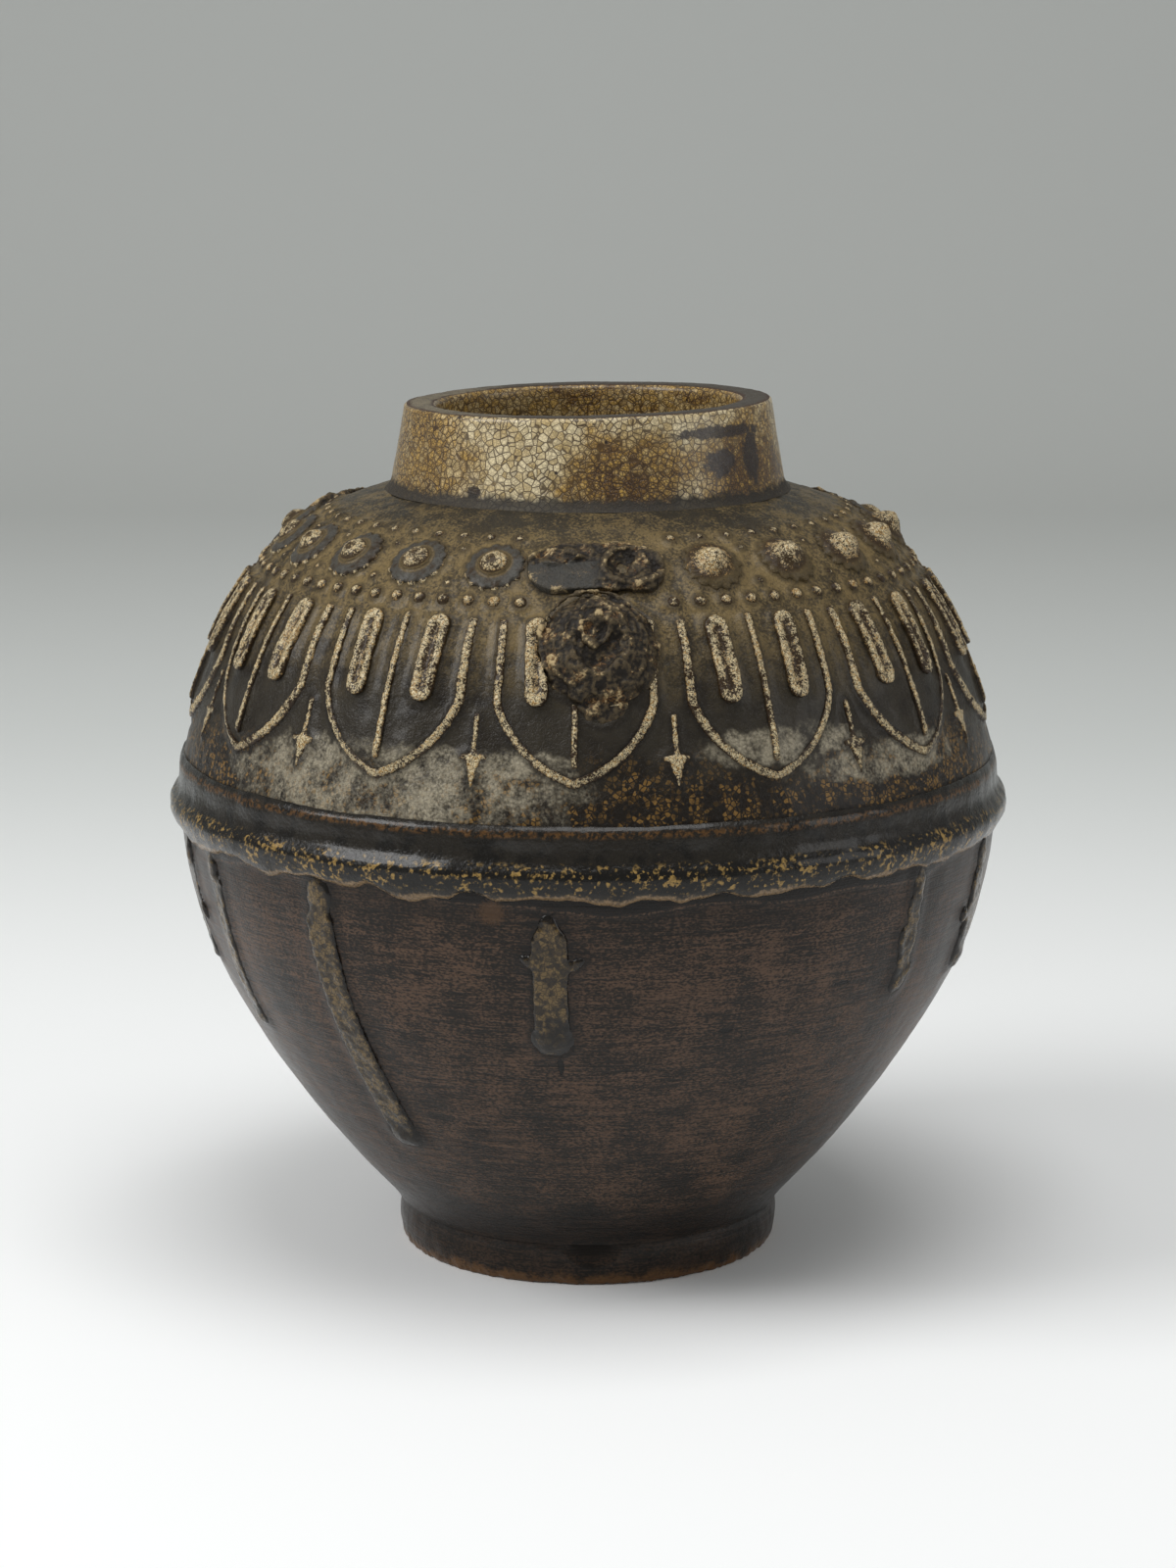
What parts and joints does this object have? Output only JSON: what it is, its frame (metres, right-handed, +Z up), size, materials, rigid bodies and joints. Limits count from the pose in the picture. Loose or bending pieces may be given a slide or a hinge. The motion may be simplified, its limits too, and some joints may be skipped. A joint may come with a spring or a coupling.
{
  "type": "martaban jar",
  "caption": "Wide-shouldered stoneware storage jar with a short thick neck, lotus petal and stud relief, broken shoulder lugs and a dark lower body on a foot ring",
  "frame": {"origin": "centre of the foot's resting face, on the jar's axis", "axes": "+Z up along the axis of the jar, -Y out of the front, between the studs at the front pair of lug roots"},
  "size_m": [0.2502, 0.2502, 0.254],
  "materials": {
    "dark_glaze": "satin brown-black glaze, brushed",
    "grey_glaze": "satin olive-grey glaze",
    "crackle_glaze": "crackled cream glaze",
    "cream_slip": "crackled cream glaze over trailed slip",
    "run_glaze": "thick glossy amber glaze",
    "bare_clay": "rough broken stoneware"
  },
  "bodies": {
    "root": {"foot_ring": "dark_glaze", "lower_body": "dark_glaze", "girdle_band": "grey_glaze", "shoulder": "grey_glaze", "neck_collar": "crackle_glaze", "neck_beads": "cream_slip", "petal_beads": "cream_slip", "boss_beads": "cream_slip", "boss_01": "cream_slip", "boss_02": "cream_slip", "boss_03": "cream_slip", "boss_04": "cream_slip", "boss_05": "cream_slip", "boss_06": "cream_slip", "boss_07": "cream_slip", "boss_08": "cream_slip", "boss_09": "cream_slip", "boss_10": "cream_slip", "boss_11": "cream_slip", "boss_12": "cream_slip", "boss_13": "cream_slip", "boss_14": "cream_slip", "boss_15": "cream_slip", "boss_16": "cream_slip", "boss_17": "cream_slip", "boss_18": "cream_slip", "petal_01": "cream_slip", "petal_02": "cream_slip", "petal_03": "cream_slip", "petal_04": "cream_slip", "petal_05": "cream_slip", "petal_06": "cream_slip", "petal_07": "cream_slip", "petal_08": "cream_slip", "petal_09": "cream_slip", "petal_10": "cream_slip", "petal_11": "cream_slip", "petal_12": "cream_slip", "petal_13": "cream_slip", "dart_01": "cream_slip", "dart_02": "cream_slip", "dart_03": "cream_slip", "dart_04": "cream_slip", "dart_05": "cream_slip", "dart_06": "cream_slip", "dart_07": "cream_slip", "dart_08": "cream_slip", "dart_09": "cream_slip", "dart_10": "cream_slip", "dart_11": "cream_slip", "dart_12": "cream_slip", "dart_13": "cream_slip", "lug_scar_01": "bare_clay", "lug_scar_02": "bare_clay", "lug_scar_03": "bare_clay", "lug_stub_01": "bare_clay", "lug_stub_02": "bare_clay", "lug_stub_03": "bare_clay", "glaze_runs": "run_glaze"}
  },
  "joints": []
}
